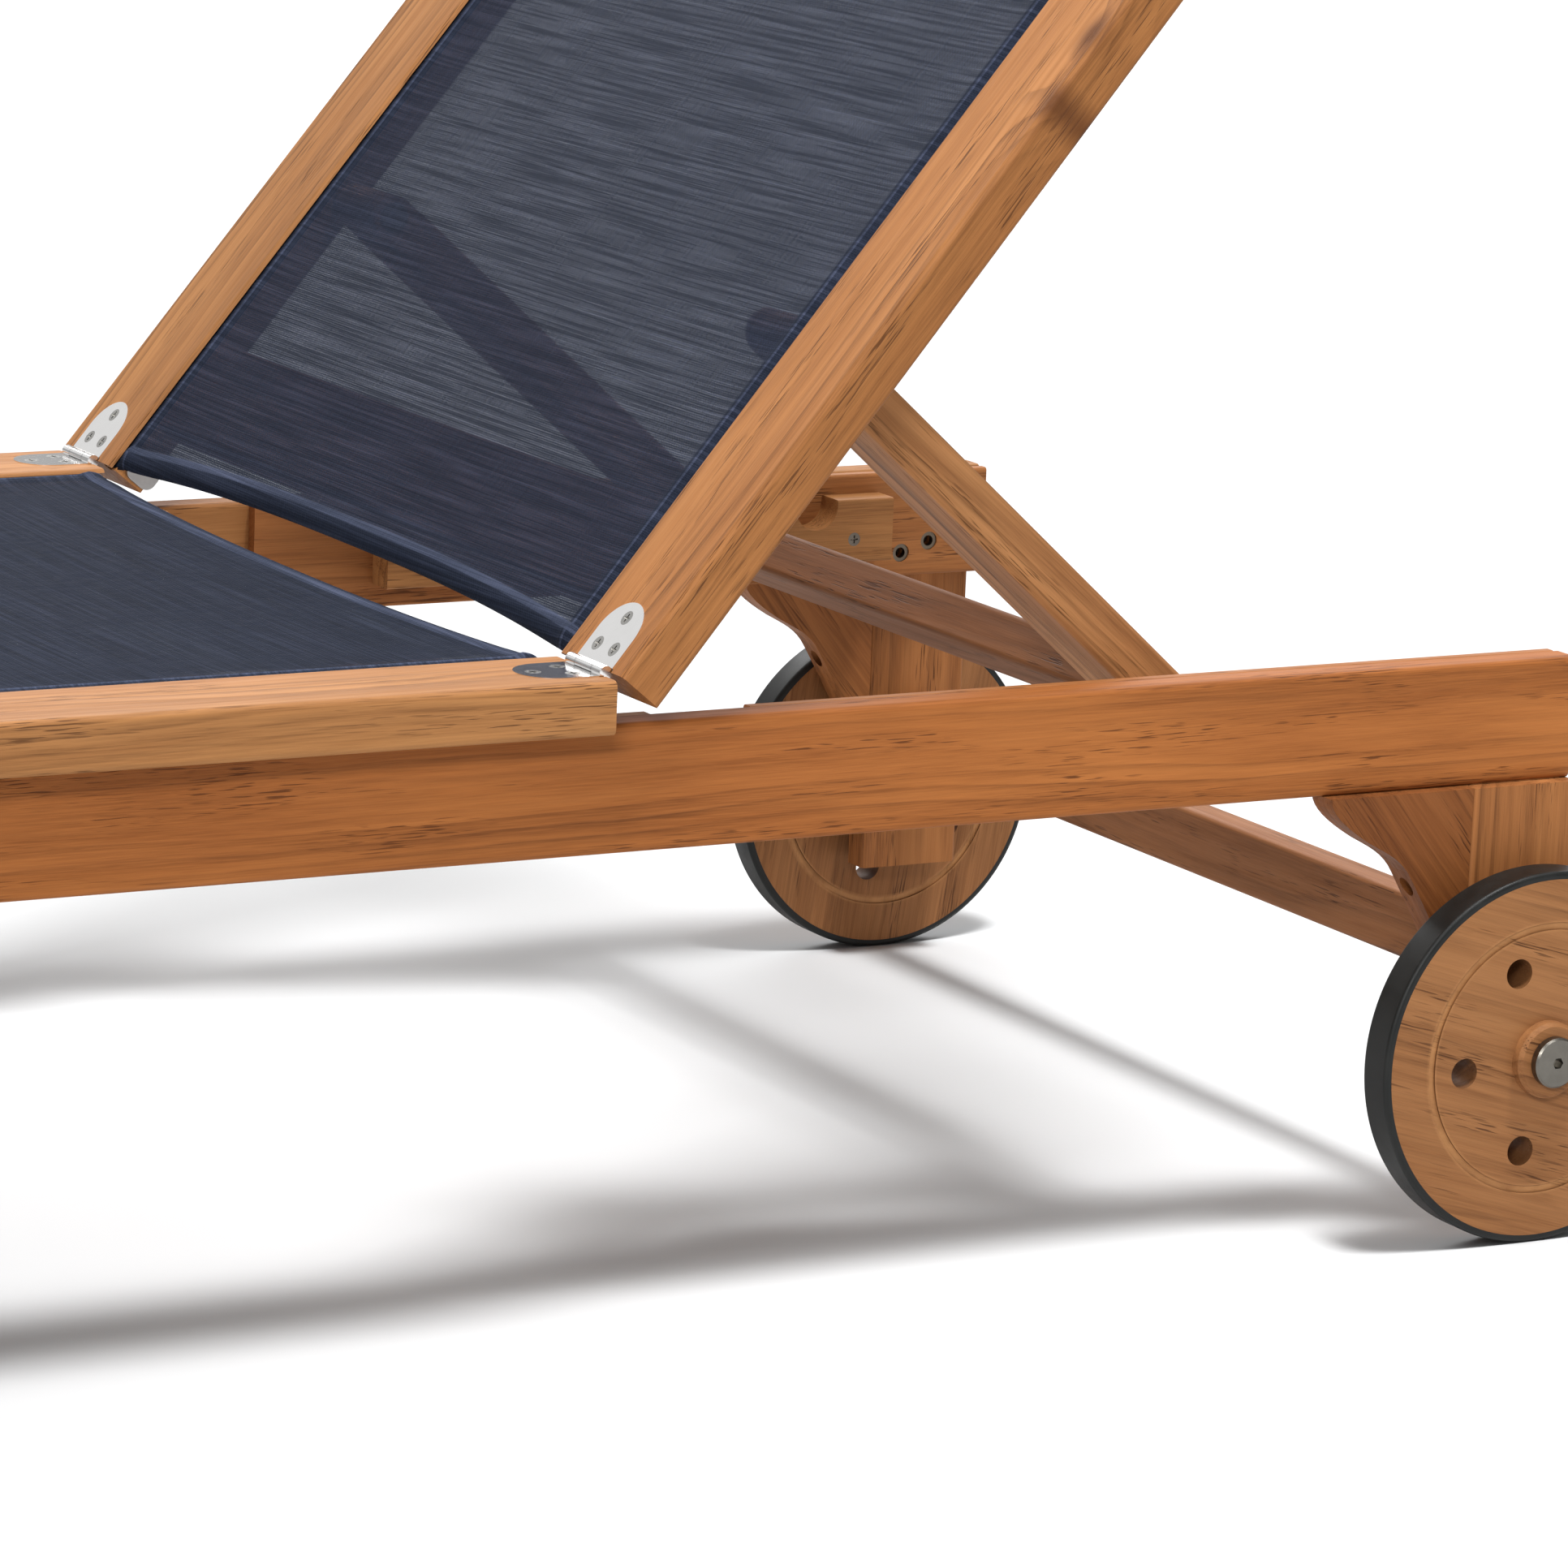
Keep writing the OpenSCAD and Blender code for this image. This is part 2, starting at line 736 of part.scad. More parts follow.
module hub_bush(side) {
    color(NYLON) on_wheel(side) translate([0, 0, -wheel_w]) difference() {
        cylinder(h = wheel_w + boss_h, r = bush_r);
        translate([0, 0, -past]) cylinder(h = wheel_w + boss_h + 2 * past, r = axle_r + fit);
    }
}

module wheel_disc(side) {
    color(TEAK) on_wheel(side) difference() {
        union() {
            translate([0, 0, -wheel_w]) cylinder(h = wheel_w, r = disc_r);
            cylinder(h = boss_h - 2, r = boss_r);
            translate([0, 0, boss_h - 2]) cylinder(h = 2, r1 = boss_r, r2 = boss_r - 2);
        }
        translate([0, 0, -wheel_w - past]) cylinder(h = wheel_w + boss_h + 2 * past, r = bush_r);
        for (i = [0 : hole_count - 1])
            rotate(hole_start + i * 360 / hole_count)
                translate([hole_ring_r, 0, -wheel_w - past])
                    cylinder(h = wheel_w + 2 * past, r = hole_r);
        for (z = [-ring_groove_d, -wheel_w - past]) translate([0, 0, z]) rotate_extrude()
            translate([ring_r - ring_groove_w / 2, 0]) square([ring_groove_w, ring_groove_d + past]);
    }
}

module tyre(side) {
    r = 2.2;
    color(RUBBER) on_wheel(side) rotate_extrude() {
        translate([disc_r, -wheel_w]) square([tyre_t - r, wheel_w]);
        translate([disc_r, -wheel_w + r]) square([tyre_t, wheel_w - 2 * r]);
        for (z = [-wheel_w + r, -r]) translate([wheel_r - r, z]) circle(r);
    }
}

// ---------- drawing ----------

side_rail(1);  // side_rail_left
side_rail(-1);  // side_rail_right
seat_batten(1);  // seat_batten_left
seat_batten(-1);  // seat_batten_right
rack_board(1);  // rack_board_left
rack_board(-1);  // rack_board_right
notch_rack(1);  // notch_rack_left
notch_rack(-1);  // notch_rack_right
rack_screws();
leg(1, head_leg_x, 1, head_leg_z);  // head_leg_left
leg(-1, head_leg_x, 1, head_leg_z);  // head_leg_right
leg(1, foot_leg_x, -1, 0);  // foot_leg_left
leg(-1, foot_leg_x, -1, 0);  // foot_leg_right
brace(1, head_leg_x, 1);  // head_brace_left
brace(-1, head_leg_x, 1);  // head_brace_right
brace(1, foot_leg_x, -1);  // foot_brace_left
brace(-1, foot_leg_x, -1);  // foot_brace_right
brace_screws();
leg_bolts();
stretcher(axle_x);  // head_stretcher
stretcher(foot_leg_x);  // foot_stretcher
foot_cross_rail();
middle_cross_rail();
seat_rail(1);  // seat_rail_left
seat_rail(-1);  // seat_rail_right
seat_foot_rail();
seat_spreader((foot_x + hinge_x - spreader_w) / 2);  // seat_spreader_foot
seat_spreader(hinge_x - 96);  // seat_spreader_head
seat_sling();
seat_splines();
seat_hinge_leaf(1);  // seat_hinge_leaf_left
seat_hinge_leaf(-1);  // seat_hinge_leaf_right
hinge_pins();
seat_hinge_screws();
axle_bolt(1);  // axle_bolt_left
axle_bolt(-1);  // axle_bolt_right
axle_nuts();
back_rail(1);  // back_rail_left
back_rail(-1);  // back_rail_right
back_top_rail();
back_lower_rail();
back_sling();
back_splines();
back_hinge_leaf(1);  // back_hinge_leaf_left
back_hinge_leaf(-1);  // back_hinge_leaf_right
back_hinge_screws();
back_end_plates();
prop_pivot_bolts();
prop_strut(1);  // prop_strut_left
prop_strut(-1);  // prop_strut_right
prop_foot_bar();
prop_foot_pins();
wheel_disc(1);  // wheel_disc_left
wheel_disc(-1);  // wheel_disc_right
tyre(1);  // tyre_left
tyre(-1);  // tyre_right
hub_bush(1);  // hub_bush_left
hub_bush(-1);  // hub_bush_right
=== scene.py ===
"""A reclining teak sun lounger with woven slings, dressed around its CAD frame. Lengths in metres."""

import json
import math
import random

import bmesh
import bpy
from mathutils import Matrix, Vector


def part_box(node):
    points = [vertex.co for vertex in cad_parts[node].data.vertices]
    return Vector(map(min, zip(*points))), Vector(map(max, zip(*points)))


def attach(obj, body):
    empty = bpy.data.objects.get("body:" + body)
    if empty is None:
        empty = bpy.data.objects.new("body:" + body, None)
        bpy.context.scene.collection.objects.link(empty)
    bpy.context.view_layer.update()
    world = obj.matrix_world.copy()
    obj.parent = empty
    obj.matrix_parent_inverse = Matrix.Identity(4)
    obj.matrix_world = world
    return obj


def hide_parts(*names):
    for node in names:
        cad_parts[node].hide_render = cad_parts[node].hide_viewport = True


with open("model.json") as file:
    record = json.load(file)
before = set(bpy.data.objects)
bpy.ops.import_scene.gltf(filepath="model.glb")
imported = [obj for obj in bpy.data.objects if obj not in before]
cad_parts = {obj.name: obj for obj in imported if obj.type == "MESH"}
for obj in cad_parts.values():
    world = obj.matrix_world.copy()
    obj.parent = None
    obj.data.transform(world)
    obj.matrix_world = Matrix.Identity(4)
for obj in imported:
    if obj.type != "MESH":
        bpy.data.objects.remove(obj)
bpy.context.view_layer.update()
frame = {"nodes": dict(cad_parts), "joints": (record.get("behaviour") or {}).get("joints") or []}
nodes = frame["nodes"]

MM = 0.001


# ---------------------------------------------------------------- places, read from the frame


def joint(name):
    """The record's entry for one joint."""
    return next(j for j in frame["joints"] if j["name"] == name)


def middle(node):
    """The centre of a CAD node's box at rest."""
    low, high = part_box(node)
    return (low + high) / 2


hinge = Vector(joint("backrest_recline")["pos_m"])
pivot = Vector(joint("prop_swing")["pos_m"])
recline = math.radians(-joint("backrest_recline")["range_deg"][0])
prop_run = middle("prop_foot_bar") - pivot
prop_slope = math.atan2(prop_run.z, prop_run.x)

seat_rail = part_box("seat_rail_left")
seat_inner = seat_rail[0].y
seat_foot = seat_rail[0].x
frame_width = seat_rail[1].y - seat_rail[0].y

# Frames of the backrest and the seat: local x runs along the rails towards the head, local z out of
# the face that the slings show
back_place = Matrix.Translation(hinge) @ Matrix.Rotation(-recline, 4, "Y")
seat_place = Matrix.Translation(hinge)


# ---------------------------------------------------------------- camera


SENSOR_MM = 36.0
LENS_MM = 155.72
NEAREST, FARTHEST = 0.05, 60.0
EYE = (-1.17114, -3.17211, 0.97074)
# Turned to the right of straight ahead, tipped down from level, and rolled
YAW = math.radians(29.205)
TILT = math.radians(-12.123)
ROLL = math.radians(2.341)


def make_camera():
    """The reference view: a long lens near the foot end, a little above the seat."""
    data = bpy.data.cameras.new("camera")
    data.sensor_width = SENSOR_MM
    data.lens = LENS_MM
    data.clip_start = NEAREST
    data.clip_end = FARTHEST
    camera = bpy.data.objects.new("camera", data)
    bpy.context.scene.collection.objects.link(camera)
    camera.matrix_world = (
        Matrix.Translation(EYE)
        @ Matrix.Rotation(-YAW, 4, "Z")
        @ Matrix.Rotation(math.pi / 2 + TILT, 4, "X")
        @ Matrix.Rotation(ROLL, 4, "Z")
    )
    bpy.context.scene.camera = camera


make_camera()


# ---------------------------------------------------------------- shader helpers


class Shader:
    """A new material with a Principled shader, and short calls that add nodes to it."""

    def __init__(self, name):
        self.material = bpy.data.materials.new(name)
        self.material.use_nodes = True
        self.tree = self.material.node_tree
        self.surface = self.tree.nodes["Principled BSDF"]

    def node(self, kind, **settings):
        made = self.tree.nodes.new(kind)
        for key, value in settings.items():
            setattr(made, key, value)
        return made

    def feed(self, socket, value):
        """Links value into a socket, or writes it there if it's a plain number, vector or colour."""
        if isinstance(value, bpy.types.NodeSocket):
            self.tree.links.new(value, socket)
        else:
            socket.default_value = value

    def math(self, operation, *values):
        made = self.node("ShaderNodeMath", operation=operation)
        for socket, value in zip(made.inputs, values):
            self.feed(socket, value)
        return made.outputs[0]

    def vector(self, operation, *values):
        made = self.node("ShaderNodeVectorMath", operation=operation)
        for socket, value in zip(made.inputs, values):
            self.feed(socket, value)
        return made.outputs["Value" if operation == "LENGTH" else "Vector"]

    def coordinates(self, turn=(0, 0, 0), move=(0, 0, 0), scale=(1, 1, 1), source=None):
        """The object's own coordinates, or source, scaled, turned and then moved."""
        if source is None:
            source = self.node("ShaderNodeTexCoord").outputs["Object"]
        made = self.node("ShaderNodeMapping")
        self.feed(made.inputs["Vector"], source)
        made.inputs["Rotation"].default_value = turn
        made.inputs["Location"].default_value = move
        made.inputs["Scale"].default_value = scale
        return made.outputs[0]

    def split(self, vector):
        made = self.node("ShaderNodeSeparateXYZ")
        self.feed(made.inputs[0], vector)
        return made.outputs

    def join(self, x, y, z):
        made = self.node("ShaderNodeCombineXYZ")
        for socket, value in zip(made.inputs, (x, y, z)):
            self.feed(socket, value)
        return made.outputs[0]

    def noise(self, vector, scale, detail=2.0, roughness=0.5, output="Fac"):
        made = self.node("ShaderNodeTexNoise")
        self.feed(made.inputs["Vector"], vector)
        made.inputs["Scale"].default_value = scale
        made.inputs["Detail"].default_value = detail
        made.inputs["Roughness"].default_value = roughness
        return made.outputs[output]

    def remap(self, value, low, high, to_low=0.0, to_high=1.0):
        made = self.node("ShaderNodeMapRange", clamp=True)
        self.feed(made.inputs["Value"], value)
        made.inputs["From Min"].default_value = low
        made.inputs["From Max"].default_value = high
        made.inputs["To Min"].default_value = to_low
        made.inputs["To Max"].default_value = to_high
        return made.outputs[0]

    def ramp(self, value, stops):
        """Grey levels at places from 0 to 1: stops is a list of (place, level)."""
        made = self.node("ShaderNodeValToRGB")
        self.feed(made.inputs[0], value)
        stop = made.color_ramp.elements
        while len(stop) < len(stops):
            stop.new(0.5)
        for element, (place, level) in zip(stop, stops):
            element.position = place
            element.color = (level, level, level, 1)
        return made.outputs[0]

    def mix(self, amount, first, second):
        """A colour between first, at amount 0, and second, at 1."""
        made = self.node("ShaderNodeMix", data_type="RGBA")
        self.feed(made.inputs[0], amount)
        for socket, value in ((made.inputs[6], first), (made.inputs[7], second)):
            self.feed(socket, (*value, 1) if isinstance(value, tuple) else value)
        return made.outputs[2]

    def bump(self, height, distance, strength):
        made = self.node("ShaderNodeBump")
        made.inputs["Strength"].default_value = strength
        made.inputs["Distance"].default_value = distance
        self.feed(made.inputs["Height"], height)
        return made.outputs[0]


# ---------------------------------------------------------------- teak

# Tones of teak as linear colours
TEAK = {
    "amber": (0.335, 0.115, 0.028),
    "honey": (0.325, 0.145, 0.049),
    "gold": (0.325, 0.135, 0.042),
    "straw": (0.385, 0.176, 0.066),
    "tan": (0.310, 0.120, 0.037),
    "walnut": (0.265, 0.115, 0.042),
    "russet": (0.275, 0.102, 0.031),
    "umber": (0.215, 0.074, 0.020),
    "nut": (0.250, 0.102, 0.038),
    # This darkest tone paints in shade: the key light passes the slings, so the prop's foot bar under
    # the backrest is darkened instead
    "cocoa_painted_shade": (0.170, 0.064, 0.021),
}

# Turns that lay a board's grain along the texture's x axis
ALONG_X = (0.0, 0.0, 0.0)
ALONG_Y = (0.0, 0.0, -math.pi / 2)
ALONG_Z = (0.0, math.pi / 2, 0.0)
UP_THE_BACK = (0.0, recline, 0.0)
ACROSS_THE_BACK = (0.0, recline, -math.pi / 2)
DOWN_THE_PROP = (0.0, prop_slope, 0.0)
ACROSS_THE_PROP = (0.0, prop_slope, -math.pi / 2)
DOWN_HEAD_BRACE = (0.0, math.radians(-51), 0.0)
DOWN_FOOT_BRACE = (0.0, math.radians(51), 0.0)
LEFT_WHEEL_TURN = (0.0, math.radians(82), 0.0)
RIGHT_WHEEL_TURN = (0.0, math.radians(-17), 0.0)

# Each board's turn, tone, where the heart of its log lies across it in mm, and how bold its figure is
BOARDS = {
    "side_rail_left": (ALONG_X, "honey", (15, 70), 0.8),
    "side_rail_right": (ALONG_X, "amber", (30, 85), 1.0),
    "seat_batten_left": (ALONG_X, "honey", (40, 60), 0.4),
    "seat_batten_right": (ALONG_X, "honey", (-40, 60), 0.4),
    "rack_board_left": (ALONG_X, "tan", (30, 90), 0.9),
    "rack_board_right": (ALONG_X, "tan", (30, 80), 0.9),
    "notch_rack_left": (ALONG_X, "honey", (90, 20), 1.1),
    "notch_rack_right": (ALONG_X, "honey", (80, -20), 1.1),
    "head_leg_left": (ALONG_Z, "tan", (60, 40), 1.1),
    "head_leg_right": (ALONG_Z, "tan", (50, 35), 1.1),
    "foot_leg_left": (ALONG_Z, "tan", (45, -40), 0.6),
    "foot_leg_right": (ALONG_Z, "honey", (40, 30), 0.5),
    "head_brace_left": (DOWN_HEAD_BRACE, "russet", (20, 55), 2.2),
    "head_brace_right": (DOWN_HEAD_BRACE, "umber", (20, 50), 2.2),
    "foot_brace_left": (DOWN_FOOT_BRACE, "russet", (25, -60), 0.8),
    "foot_brace_right": (DOWN_FOOT_BRACE, "russet", (20, -55), 0.9),
    "head_stretcher": (ALONG_Y, "nut", (60, 45), 0.8),
    "foot_stretcher": (ALONG_Y, "tan", (55, 40), 0.5),
    "foot_cross_rail": (ALONG_Y, "honey", (70, 30), 0.5),
    "middle_cross_rail": (ALONG_Y, "tan", (70, -30), 0.5),
    "seat_rail_left": (ALONG_X, "honey", (20, 60), 0.8),
    "seat_rail_right": (ALONG_X, "honey", (35, -60), 0.9),
    "seat_foot_rail": (ALONG_Y, "honey", (30, 60), 0.5),
    "seat_spreader_foot": (ALONG_Y, "tan", (40, 50), 0.5),
    "seat_spreader_head": (ALONG_Y, "tan", (35, 55), 0.5),
    "back_rail_left": (UP_THE_BACK, "honey", (-70, 30), 1.1),
    "back_rail_right": (UP_THE_BACK, "gold", (75, 25), 1.0),
    "back_top_rail": (ACROSS_THE_BACK, "honey", (60, 30), 0.5),
    "back_lower_rail": (ACROSS_THE_BACK, "russet", (40, 60), 0.5),
    "prop_strut_left": (DOWN_THE_PROP, "straw", (24, 70), 1.8),
    "prop_strut_right": (DOWN_THE_PROP, "straw", (26, 75), 1.8),
    # The foot bar's dark tone is painted shade from the backrest above it
    "prop_foot_bar": (ACROSS_THE_PROP, "cocoa_painted_shade", (45, 40), 0.8),
    "prop_foot_pins": (ACROSS_THE_PROP, "tan", (30, 40), 0.5),
    "wheel_disc_left": (LEFT_WHEEL_TURN, "walnut", (45, 60), 1.0),
    "wheel_disc_right": (RIGHT_WHEEL_TURN, "walnut", (35, 70), 0.85),
}

# Knots: how far along and across the board from its centre, and how big, in metres
KNOTS = {
    "back_rail_right": ((0.035, -0.026, 0.010), (-0.005, -0.034, 0.008)),
}

# Radius of the turned ring in a wheel's face, and the radii over which the darkening of its holes' walls
# fades in: darker end grain and painted shade
WHEEL_RING = 0.071
HOLES_FROM = (0.026, 0.030)

# Least and most width of a growth ring in mm, and its darkness from its inner edge to its outer one
RING_WIDTHS = (6.0, 8.5)
RING_PROFILE = [(0.0, 0.25), (0.12, 0.0), (0.55, 0.22), (0.86, 0.85), (0.95, 1.0), (1.0, 0.25)]

# How far the grain's slow waves and its small ripples reach across it
WAVE = 0.034
RIPPLE = 0.0035

# How far a board's texture may be shifted along the grain, so that no two boards match
GRAIN_START = 9

OILED_SPECULAR = 0.17
GRAIN_DEPTH = 0.00025


def shade(colour, factor, warmth=0.0):
    """A lighter or darker colour. Warmth above 0 takes away blue and green, as darker teak does."""
    red, green, blue = colour
    return (red * factor, green * factor * (1 - warmth), blue * factor * (1 - 1.6 * warmth))


def ring_of_hub(s, colour, base, hub):
    """A wheel's pale turned ring, and the walls of its holes darkened with darker end grain and painted
    shade.
    """
    place = s.node("ShaderNodeTexCoord").outputs["Object"]
    from_hub = s.vector("SUBTRACT", place, tuple(hub))
    radius = s.vector("LENGTH", s.vector("MULTIPLY", from_hub, (1, 0, 1)))
    off_ring = s.math("ABSOLUTE", s.math("SUBTRACT", radius, WHEEL_RING))
    worn = s.remap(s.noise(s.coordinates(), 60.0, 3.0, 0.6), 0.3, 0.6, 0.2, 0.7)
    line = s.math("MULTIPLY", s.remap(off_ring, 0.0008, 0.0035, 1.0, 0.0), worn)
    colour = s.mix(line, colour, shade(base, 1.9, -0.12))
    # The walls of the holes are darkened by how they face: partly darker end grain, partly painted shade
    # in the holes
    _, facing, _ = s.split(s.node("ShaderNodeNewGeometry").outputs["Normal"])
    walls_grain_and_shade = s.remap(s.math("ABSOLUTE", facing), 0.15, 0.6, 0.62, 0.0)
    walls_grain_and_shade = s.math("MULTIPLY", walls_grain_and_shade, s.remap(radius, *HOLES_FROM))
    return s.mix(walls_grain_and_shade, colour, shade(base, 0.30, 0.15))


def along_grain(s, grain, length, width, detail=2.0, roughness=0.5):
    """Noise drawn out along the grain: length and width are its scales along and across."""
    return s.noise(s.coordinates(scale=(length, width, width), source=grain), 1.0, detail, roughness)


def sway(s, grain, scale, reach):
    """A smooth push across the grain that changes from place to place."""
    push = s.noise(s.coordinates(scale=scale, source=grain), 1.0, 2.0, output="Color")
    return s.vector("MULTIPLY", s.vector("SUBTRACT", push, (0.5, 0.5, 0.5)), (0, reach, reach))


def bend_round_knots(s, laid, wave, radius, knots):
    """The distance from the heart, bent round each knot, and how dark each knot's eye is."""
    eyes = []
    for along, across, size in knots:
        from_knot = s.vector("ADD", s.vector("SUBTRACT", laid, (along, across, 0)), wave)
        distance = s.vector("LENGTH", s.vector("MULTIPLY", from_knot, (0.6, 1.0, 0.0)))
        radius = s.math("ADD", radius, s.remap(distance, 0.0, 3.2 * size, 1.6 * size, 0.0))
        eyes.append(s.remap(distance, 0.25 * size, 1.1 * size, 0.85, 0.0))
    return radius, eyes


def growth_rings(s, grain, radius, ring_width):
    """How dark the rings are: patchy along the board, and bold in some years and faint in others."""
    count = s.math("DIVIDE", radius, ring_width)
    ring = s.ramp(s.math("FRACT", count), RING_PROFILE)
    patchy = s.remap(along_grain(s, grain, 3, 22), 0.36, 0.60)
    ring = s.math("MULTIPLY", ring, s.math("MULTIPLY_ADD", patchy, 0.70, 0.30))
    year = s.math("MULTIPLY", s.math("FLOOR", count), 0.37)
    boldness = s.remap(s.noise(s.join(year, 0.5, 0.2), 1.0, 0.0), 0.40, 0.60, 0.10, 1.15)
    return s.math("MULTIPLY", ring, boldness)


def teak(name, centre, turn, tone, heart, figure, draw, knots, hub):
    """Oiled teak: growth rings round the log's heart, fine fibres, short dark pores and drifts of tone.
    The grain runs along the texture's x axis, and the board's centre is its origin. heart is where the
    log's heart lies across the board, and figure how bold its rings and bands are. hub is a wheel's
    centre, or None for a board."""
    s = Shader(name)
    base = TEAK[tone]
    place = s.node("ShaderNodeTexCoord").outputs["Object"]
    laid = s.coordinates(turn=turn, source=s.vector("SUBTRACT", place, tuple(centre)))
    moved = s.coordinates(move=(draw.uniform(-GRAIN_START, GRAIN_START), 0, 0), source=laid)

    wave = sway(s, moved, (2.2, 9, 9), WAVE)
    ripple = sway(s, moved, (9, 60, 60), RIPPLE)
    heart_at = (0, heart[0] * MM, heart[1] * MM)
    radial = s.vector("ADD", s.vector("ADD", moved, wave), s.vector("ADD", ripple, heart_at))
    _, across, deep = s.split(radial)
    radius = s.vector("LENGTH", s.join(0.0, across, deep))
    radius, eyes = bend_round_knots(s, laid, wave, radius, knots)
    ring = growth_rings(s, moved, radius, draw.uniform(*RING_WIDTHS) * MM)

    # drifts of tone, and bands of darker heartwood and paler wood, a few to a board
    bent = s.vector("ADD", moved, wave)
    drift = s.remap(along_grain(s, moved, 3.5, 16, 3.0, 0.55), 0.3, 0.7)
    bands = s.remap(along_grain(s, bent, 1.4, 46, 4.0, 0.62), 0.46, 0.64)
    pale = s.remap(along_grain(s, bent, 1.8, 30, 3.0, 0.6), 0.50, 0.70)

    # fibres and pores run with the grain, and the pores lie in patches
    fibre = along_grain(s, moved, 26, 1100, 3.0, 0.65)
    streak = along_grain(s, bent, 5, 210, 3.0, 0.6)
    pores = s.remap(along_grain(s, moved, 50, 1100, 1.0, 0.4), 0.575, 0.66)
    pores = s.math("MULTIPLY", pores, s.remap(along_grain(s, moved, 9, 70), 0.50, 0.62))

    bands = s.math("MULTIPLY", bands, min(0.9, 0.62 * figure))
    figured = s.math("MULTIPLY", ring, min(0.95, 0.72 * figure))
    colour = s.mix(drift, shade(base, 0.84, 0.07), shade(base, 1.20, -0.04))
    colour = s.mix(s.math("MULTIPLY", pale, 0.55), colour, shade(base, 1.48, -0.05))
    colour = s.mix(bands, colour, shade(base, 0.50, 0.12))
    colour = s.mix(figured, colour, shade(base, 0.30, 0.14))
    colour = s.mix(s.remap(streak, 0.42, 0.68, 0.0, 0.45), colour, shade(base, 0.60, 0.12))
    colour = s.mix(s.remap(fibre, 0.36, 0.66, 0.0, 0.32), colour, shade(base, 1.50, 0.0))
    colour = s.mix(s.math("MULTIPLY", pores, 0.85), colour, shade(base, 0.28, 0.16))
    for eye in eyes:
        colour = s.mix(eye, colour, shade(base, 0.30, 0.2))
    if hub is not None:
        colour = ring_of_hub(s, colour, base, hub)
    s.feed(s.surface.inputs["Base Color"], colour)

    s.feed(s.surface.inputs["Roughness"], s.remap(streak, 0.3, 0.7, 0.54, 0.68))
    s.surface.inputs["Specular IOR Level"].default_value = OILED_SPECULAR
    relief = s.math("MULTIPLY_ADD", fibre, 0.5, s.math("MULTIPLY", streak, 0.5))
    hollows = s.math("MULTIPLY_ADD", pores, 0.9, s.math("MULTIPLY", ring, 0.25))
    relief = s.math("SUBTRACT", relief, hollows)
    s.feed(s.surface.inputs["Normal"], s.bump(relief, GRAIN_DEPTH, 0.7))
    return s.material


def cover(node, material):
    """Gives a CAD node its finish."""
    slots = nodes[node].material_slots
    if not slots:
        nodes[node].data.materials.append(material)
    for slot in slots:
        slot.material = material


GRAIN_SEED = 11


def finish_boards():
    """Every board gets its own teak."""
    draw = random.Random(GRAIN_SEED)
    for node, (turn, tone, heart, figure) in BOARDS.items():
        centre = middle(node)
        hub = centre if node.startswith("wheel") else None
        knots = KNOTS.get(node, ())
        cover(node, teak("teak_" + node, centre, turn, tone, heart, figure, draw, knots, hub))


# ---------------------------------------------------------------- metals, rubber, nylon


def steel(name, colour, roughness, brushed, depth, spread, blotchy):
    """Steel with fine scratches, drawn out along the axes where brushed is smallest.
    spread is how much the roughness varies, and blotchy how much the tone does."""
    s = Shader(name)
    scratch = s.noise(s.coordinates(scale=brushed), 1.0, 4.0, 0.6)
    blotch = s.remap(s.noise(s.coordinates(), 90.0, 3.0, 0.6), 0.35, 0.7)
    tone = s.mix(blotch, shade(colour, 1 - blotchy), shade(colour, 1 + blotchy / 2))
    rough = s.remap(scratch, 0.3, 0.7, roughness - spread / 2, roughness + spread)
    s.feed(s.surface.inputs["Base Color"], tone)
    s.surface.inputs["Metallic"].default_value = 1.0
    s.feed(s.surface.inputs["Roughness"], rough)
    s.feed(s.surface.inputs["Normal"], s.bump(scratch, depth, 0.6))
    return s.material


CLEAN_RUBBER = (0.007, 0.0075, 0.007)
DUSTY_RUBBER = (0.014, 0.0145, 0.0135)


def rubber():
    """Black rubber, dusty in places, with a fine moulded grain."""
    s = Shader("tyre_rubber")
    dust = s.remap(s.noise(s.coordinates(), 38.0, 4.0, 0.6), 0.42, 0.72)
    grain = s.noise(s.coordinates(), 2600.0, 2.0, 0.6)
    s.feed(s.surface.inputs["Base Color"], s.mix(dust, CLEAN_RUBBER, DUSTY_RUBBER))
    s.feed(s.surface.inputs["Roughness"], s.remap(dust, 0.0, 1.0, 0.42, 0.58))
    s.surface.inputs["Specular IOR Level"].default_value = 0.28
    s.feed(s.surface.inputs["Normal"], s.bump(grain, 0.00012, 0.5))
    return s.material


DULL_NYLON = (0.60, 0.58, 0.52)
CLEAN_NYLON = (0.70, 0.69, 0.64)


def nylon():
    """Off-white nylon with faint marks."""
    s = Shader("nylon")
    cloud = s.noise(s.coordinates(), 160.0, 3.0, 0.55)
    tone = s.mix(s.remap(cloud, 0.35, 0.7), DULL_NYLON, CLEAN_NYLON)
    s.feed(s.surface.inputs["Base Color"], tone)
    s.feed(s.surface.inputs["Roughness"], s.remap(cloud, 0.3, 0.7, 0.38, 0.52))
    s.feed(s.surface.inputs["Normal"], s.bump(cloud, 0.00006, 0.4))
    return s.material


# Which way steel is scratched: the scratches' scale along each axis, drawn out where it's smallest
FINE_LENGTHWAYS = (300, 2600, 300)
TURNED = (1800, 400, 1800)
ROLLED = (500, 500, 500)
STAMPED = (900, 900, 900)

